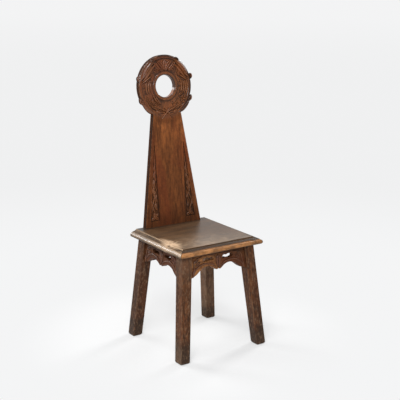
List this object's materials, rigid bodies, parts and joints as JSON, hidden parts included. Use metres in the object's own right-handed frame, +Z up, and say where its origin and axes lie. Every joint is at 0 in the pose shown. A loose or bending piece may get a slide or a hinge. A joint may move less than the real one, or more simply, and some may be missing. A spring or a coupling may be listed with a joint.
{
  "type": "board-back chair",
  "caption": "Small armless oak chair: moulded board seat, splayed square legs, pierced aprons and a tapering back board that ends in a carved ring with a hand hole.",
  "frame": {"origin": "on the floor, at the middle of the whole chair's footprint in plan", "axes": "+Z up, +Y to the back, +X to the right seen from the front"},
  "size_m": [0.3984, 0.4514, 1.0934],
  "materials": {
    "polished_oak": "dark stained oak, waxed and polished by use",
    "seat_oak": "dark stained oak, more worn and satin",
    "raw_oak": "unpolished aged oak",
    "old_steel": "dull aged steel"
  },
  "bodies": {
    "root": {"seat_board": "seat_oak", "back_plank": "polished_oak", "front_left_leg": "polished_oak", "front_right_leg": "polished_oak", "back_left_leg": "polished_oak", "back_right_leg": "polished_oak", "front_apron": "polished_oak", "left_apron": "polished_oak", "right_apron": "polished_oak", "back_apron": "polished_oak", "corner_block_front_left": "raw_oak", "corner_block_front_right": "raw_oak", "corner_block_back_left": "raw_oak", "corner_block_back_right": "raw_oak", "seat_screws": "old_steel", "plank_screws": "old_steel"}
  },
  "joints": []
}
